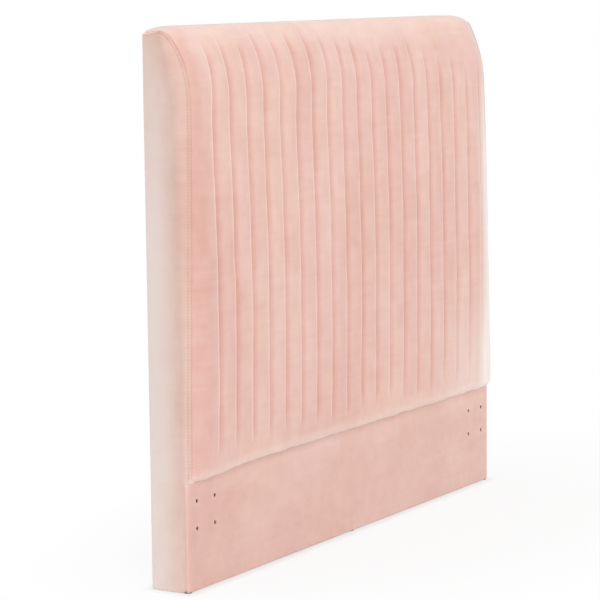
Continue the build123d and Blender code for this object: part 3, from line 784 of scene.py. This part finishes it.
# ---------------------------------------------------------------------------
# Foam. One sheet, 25 mm thick, glued over the front skin and the crest. Its
# ends are rounded off by the pull of the covers.
# ---------------------------------------------------------------------------
FOAM_TOP, FOAM_UNDER = 0.0074, 0.0323
FOAM_SKIN, FOAM_PACK = 0.0005, 0.85
foam_rows = (np.linspace(TOP_START, FACE_START, 60), np.linspace(FACE_START, LIP_START + 0.025, 60)[1:])
foam_rows = np.concatenate(foam_rows)
foam_under = FOAM_UNDER - 0.012 * ease(foam_rows, LIP_START - 0.03, LIP_START + 0.01)
ends = {}
for hand in (-1, 1):
    wide, deep, power, drawn = end_shape(foam_rows, hand)
    insets = [drawn + (wide - drawn) * share for share in np.linspace(0, 1, 9) ** 1.3]
    sinks = [rounded(inset, wide, deep, power) * FOAM_PACK * foam_under / FOAM_UNDER for inset in insets]
    ends[hand] = [hand * (HALF - inset - 0.0035) for inset in insets], [-FOAM_TOP - FOAM_SKIN - sink for sink in sinks]
loop_x = ends[-1][0] + [foam_rows * 0] + ends[1][0][::-1]
loop_out = ends[-1][1] + [foam_rows * 0 - FOAM_TOP - FOAM_SKIN] + ends[1][1][::-1]
for share in (0, 0.25, 0.5, 0.75, 1):
    loop_x.append(ends[1][0][0] * (1 - share) + ends[-1][0][0] * share)
    loop_out.append(-foam_under)
loop_x, loop_out = np.array(loop_x).T, np.array(loop_out).T
loop_y, loop_z = outline(np.repeat(foam_rows[:, None], loop_x.shape[1], axis=1), loop_out)
foam = cloth_grid("Pad_foam", np.stack((loop_x, loop_y, loop_z), axis=-1), closed_up=True)
sealed = bmesh.new()
sealed.from_mesh(foam.data)
bmesh.ops.holes_fill(sealed, edges=[edge for edge in sealed.edges if edge.is_boundary])
sealed.to_mesh(foam.data)
sealed.free()
foam_finish = Finish("Foam")
cells = foam_finish.node("ShaderNodeTexVoronoi", None, {"Vector": foam_finish.place(), "Scale": 700}, "Distance")
aged = foam_finish.noise(7)
foam_cream = foam_finish.blend(aged, (0.82, 0.74, 0.52), (0.88, 0.82, 0.64))
foam.data.materials.append(foam_finish.surface(foam_cream, 0.95, cells, 0.0012))
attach(foam, "root")
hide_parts("pad_foam")

# ---------------------------------------------------------------------------
# Dust cover. Black non-woven cloth over the open back, its edges turned in
# and held by staples all round.
# ---------------------------------------------------------------------------
DUST_WIDTH, DUST_LOW, DUST_HIGH, DUST_BACK = 1.555, 0.014, 1.362, 0.0712


def dust_top(x):
    """Height of the dust cover's upper edge, which follows the drawn-in ends of the crest."""
    return np.minimum(DUST_HIGH, HEIGHT - 0.010 - end_sink(TOP_START, x))


dust_x = np.linspace(-DUST_WIDTH / 2, DUST_WIDTH / 2, 190)
dust_z = np.linspace(DUST_LOW, DUST_HIGH, 165)
grid_x, grid_z = np.meshgrid(dust_x, dust_z)
edge_gap = np.minimum(DUST_WIDTH / 2 - np.abs(grid_x), np.minimum(grid_z - DUST_LOW, DUST_HIGH - grid_z))
slack = ease(edge_gap, 0.012, 0.10)
grid_z = DUST_LOW + (grid_z - DUST_LOW) * (dust_top(grid_x) - DUST_LOW) / (DUST_HIGH - DUST_LOW)
sag = 0.5 + 0.5 * drift(61, grid_x * 8, grid_z * 9)
dust_y = DUST_BACK - 0.0030 * slack * np.clip(sag, 0, 1.4) - 0.0003 * np.abs(drift(62, grid_x * 60, grid_z * 52))
dust_y = dust_y - 0.0006 * bell(edge_gap, 0, 0.03) * (0.5 + 0.5 * np.sin((grid_x + grid_z) * 2 * pi / 0.05))
dust_cover = cloth_grid("Back_dust_cover", np.stack((grid_x, dust_y, grid_z), axis=-1))
thicken(dust_cover, 0.0004)
dust_finish = Finish("Dust cloth")
bonds = dust_finish.node("ShaderNodeTexVoronoi", None, {"Vector": dust_finish.place(), "Scale": 420}, "Distance")
fibres = dust_finish.noise(350, (1, 1, 3))
dust_black = dust_finish.blend(fibres, (0.022, 0.022, 0.024), (0.055, 0.055, 0.058))
dust_cover.data.materials.append(dust_finish.surface(dust_black, 0.85, bonds + fibres * 0.5, 0.0005, Sheen_Weight=0.15))
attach(dust_cover, "root")
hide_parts("back_dust_cover")

STAPLE_CROWN, STAPLE_WIRE, STAPLE_INSET = 0.010, 0.0006, 0.007


def staple(mesh, x, z, tilt):
    """One staple: a flat crown of wire with its two legs bent into the cloth."""
    along = Vector((cos(tilt), 0, sin(tilt)))
    beside = Vector((-sin(tilt), 0, cos(tilt)))
    path = [(-0.5, -0.0022), (-0.5, -0.0004), (-0.44, 0.0), (0.44, 0.0), (0.5, -0.0004), (0.5, -0.0022)]
    rings = []
    for share, rise in path:
        centre = Vector((x, DUST_BACK + 0.0001, z)) + along * STAPLE_CROWN * share + Vector((0, rise, 0))
        ring = []
        for flat, thick in ((-1, -1), (1, -1), (1, 1), (-1, 1)):
            inward = 0 if abs(share) < 0.5 else -0.0002 * thick * (1 if share > 0 else -1)
            spot = centre + beside * STAPLE_WIRE * flat + Vector((0, 0.0002 * thick, 0)) + along * inward
            ring.append(mesh.verts.new(spot))
        rings.append(ring)
    for first, second in zip(rings, rings[1:]):
        for edge in range(4):
            mesh.faces.new((first[edge], first[(edge + 1) % 4], second[(edge + 1) % 4], second[edge]))
    mesh.faces.new(rings[0][::-1])
    mesh.faces.new(rings[-1])


staples = bmesh.new()
tilts = np.random.RandomState(11)
for x in np.arange(-0.75, 0.76, 0.05):
    for z in (DUST_LOW + STAPLE_INSET, float(dust_top(np.array(x))) - STAPLE_INSET):
        staple(staples, x + tilts.uniform(-0.004, 0.004), z, tilts.uniform(-0.2, 0.2))
for z in np.arange(0.065, 1.33, 0.05):
    for x in (-DUST_WIDTH / 2 + STAPLE_INSET, DUST_WIDTH / 2 - STAPLE_INSET):
        staple(staples, x, z + tilts.uniform(-0.004, 0.004), pi / 2 + tilts.uniform(-0.2, 0.2))
bmesh.ops.recalc_face_normals(staples, faces=staples.faces)
staple_mesh = bpy.data.meshes.new("Dust_cover_staples")
staples.to_mesh(staple_mesh)
staples.free()
dust_staples = bpy.data.objects.new("Dust_cover_staples", staple_mesh)
bpy.context.scene.collection.objects.link(dust_staples)
zinc_finish = Finish("Zinc plate")
spangle = zinc_finish.noise(900, detail=2)
zinc_grey = zinc_finish.blend(spangle, (0.56, 0.57, 0.58), (0.72, 0.73, 0.74))
zinc_polish = zinc_finish.spread(spangle, 0.3, 0.7, 0.28, 0.42)
zinc_grey = zinc_finish.surface(zinc_grey, zinc_polish, spangle, 0.0002, Metallic=1.0)
staple_mesh.materials.append(zinc_grey)
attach(dust_staples, "root")

# ---------------------------------------------------------------------------
# Frame and fittings. End panels, ribs and apron board of birch plywood,
# rails and blocks of planed pine, a hardboard skin, a card strip, zinc
# screws and nuts, and glides of dark nylon.
# ---------------------------------------------------------------------------
PLY = 0.0013


def plywood_finish(name, through, grain):
    """Birch plywood: long grain on the faces, and thin plies across the thickness on the edges."""
    finish = Finish(name)
    figure = finish.noise(9, grain, 5, 0.6)
    pores = finish.noise(160, grain, 2)
    face = finish.blend(finish.spread(figure, 0.35, 0.65), (0.56, 0.40, 0.24), (0.70, 0.54, 0.35))
    spot = finish.node("ShaderNodeSeparateXYZ", None, {0: finish.place()}, through)
    plies = finish.node("ShaderNodeMath", {"operation": "PINGPONG"}, {0: spot, 1: PLY}) * (1 / PLY)
    edge = finish.blend(finish.spread(plies, 0.35, 0.65), (0.40, 0.25, 0.13), (0.66, 0.49, 0.30))
    normal = finish.node("ShaderNodeNewGeometry", output="Normal")
    facing = finish.node("ShaderNodeSeparateXYZ", None, {0: normal}, through)
    flat = finish.spread(finish.node("ShaderNodeMath", {"operation": "ABSOLUTE"}, {0: facing}), 0.5, 0.6)
    return finish.surface(finish.blend(flat, edge, face), 0.72, figure + pores * 0.6, 0.0004)


def timber_finish(name, light, dark, grain, roughness):
    """Plain sawn or pressed board with its grain along one way."""
    finish = Finish(name)
    rings = finish.noise(14, grain, 4, 0.55)
    fleck = finish.noise(260, grain, 2)
    colour = finish.blend(finish.spread(rings + (fleck - 0.5) * 0.3, 0.3, 0.7), light, dark)
    return finish.surface(colour, roughness, rings + fleck * 0.5, 0.0004)


upright_ply = plywood_finish("Upright plywood", "X", (9, 9, 0.8))
apron_ply = plywood_finish("Apron plywood", "Y", (0.8, 9, 9))
pine = timber_finish("Pine", (0.80, 0.63, 0.40), (0.66, 0.45, 0.24), (0.5, 8, 8), 0.65)
pine_blocks = timber_finish("Pine blocks", (0.82, 0.66, 0.44), (0.70, 0.50, 0.28), (8, 8, 0.6), 0.65)
hardboard = timber_finish("Hardboard", (0.36, 0.23, 0.14), (0.28, 0.17, 0.10), (3, 3, 3), 0.5)
card = timber_finish("Card", (0.58, 0.50, 0.38), (0.50, 0.42, 0.31), (4, 4, 4), 0.85)
nylon_finish = Finish("Nylon")
scuffs = nylon_finish.noise(320, detail=4)
nylon_dark = nylon_finish.blend(scuffs, (0.10, 0.09, 0.09), (0.19, 0.17, 0.17))
nylon_dark = nylon_finish.surface(nylon_dark, nylon_finish.spread(scuffs, 0.3, 0.7, 0.42, 0.6), scuffs, 0.0002)

rails = ("middle_front_rail", "bottom_front_rail", "middle_back_rail", "bottom_back_rail")
for finish, names in (
    (upright_ply, ("left_end_panel", "right_end_panel", "left_rib", "centre_rib", "right_rib")),
    (apron_ply, ("apron_board",)),
    (pine, ("crest_rail", *rails, "lap_rail")),
    (pine_blocks, ("left_bolt_block", "right_bolt_block", "corner_blocks")),
    (hardboard, ("front_skin",)),
    (card, ("tack_strip",)),
    (zinc_grey, ("bolt_nuts", "frame_screws")),
    (nylon_dark, ("floor_glides",)),
):
    for name in names:
        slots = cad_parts[name].data.materials
        slots.clear()
        slots.append(finish)

# ---------------------------------------------------------------------------
# Studio. A plain pale floor and an even white surround, with soft lamps from
# the upper left, the front, the left and above. The camera looks across the
# tucks from in front of the left end, a little above the top.
# ---------------------------------------------------------------------------
scene = bpy.context.scene
scene.view_settings.view_transform = "Standard"


def seen_straight(finish):
    """1 where the camera sees a place straight, in a reflection or through something clear, and 0 for other light."""
    seen = finish.node("ShaderNodeLightPath", output="Is Camera Ray")
    for kind in ("Glossy", "Transmission"):
        ray = finish.node("ShaderNodeLightPath", output=f"Is {kind} Ray")
        seen = finish.node("ShaderNodeMath", {"operation": "MAXIMUM"}, {0: seen, 1: ray})
    return seen


# The floor glows white where it is seen, less near the headboard, so that the shadow there shows
floor = cloth_grid("Floor", np.array([[(-9, -9, 0), (-9, 9, 0)], [(9, -9, 0), (9, 9, 0)]], float))
floor_finish = Finish("Studio floor")
from_middle = floor_finish.vector("ADD", floor_finish.place((0.9, 1.6, 1)), (-0.25, 0.15, 0))
away = floor_finish.vector("LENGTH", from_middle, output="Value")
aside = floor_finish.vector("ABSOLUTE", floor_finish.vector("ADD", floor_finish.place(), (0, -0.016, 0)))
aside = floor_finish.vector("MAXIMUM", floor_finish.vector("SUBTRACT", aside, (HALF, 0.054, 0)))
aside = floor_finish.vector("LENGTH", aside, output="Value")
glowing = seen_straight(floor_finish) * floor_finish.spread(away, 0.6, 1.5, 0.86, 1)
glowing = glowing * floor_finish.spread(aside, 0, 0.035, 0.6, 1)
matt = floor_finish.node("ShaderNodeBsdfDiffuse", None, {"Color": (0.82, 0.82, 0.82, 1)})
glow = floor_finish.node("ShaderNodeEmission", None, {"Color": (1, 1, 1, 1), "Strength": 1})
both = floor_finish.node("ShaderNodeMixShader", None, {0: glowing, 1: matt, 2: glow})
floor_finish.node("ShaderNodeOutputMaterial", None, {"Surface": both})
floor.data.materials.append(floor_finish.material)

scene.world = bpy.data.worlds.new("Surround")
surround = Finish("Surround", scene.world)
dim = surround.node("ShaderNodeBackground", None, {"Color": (1, 0.985, 0.975, 1), "Strength": 0.46})
white = surround.node("ShaderNodeBackground", None, {"Color": (1, 1, 1, 1), "Strength": 1})
both = surround.node("ShaderNodeMixShader", None, {0: seen_straight(surround), 1: dim, 2: white})
surround.node("ShaderNodeOutputWorld", None, {"Surface": both})

for name, toward, power, softness in (
    ("Key lamp", (-0.62, -0.62, 0.60), 0.88, 30),
    ("Front lamp", (0.10, -1.0, 0.08), 1.06, 50),
    ("Side lamp", (-1.0, -0.1, 0.35), 0.60, 60),
    ("Top lamp", (0.0, 0.25, 1.0), 0.84, 60),
):
    lamp = bpy.data.objects.new(name, bpy.data.lights.new(name, "SUN"))
    lamp.data.energy = power
    lamp.data.angle = radians(softness)
    lamp.location = Vector(toward) * 4
    lamp.rotation_euler = Vector(toward).to_track_quat("Z", "Y").to_euler()
    scene.collection.objects.link(lamp)

camera_place = Vector((-5.5445, -3.317, 1.481))
yaw, pitch, roll = radians(58.18), radians(7.48), radians(-0.62)
ahead = Vector((sin(yaw) * cos(pitch), cos(yaw) * cos(pitch), -sin(pitch)))
level = Vector((cos(yaw), -sin(yaw), 0))
upright = level.cross(ahead)
across = level * cos(roll) + upright * sin(roll)
upward = upright * cos(roll) - level * sin(roll)

camera = bpy.data.objects.new("Camera", bpy.data.cameras.new("Camera"))
camera.data.sensor_width = 36
camera.data.lens = 146.2
camera.data.shift_y = -0.0033
camera.matrix_world = Matrix.Translation(camera_place) @ Matrix((across, upward, -ahead)).transposed().to_4x4()
scene.collection.objects.link(camera)
scene.camera = camera
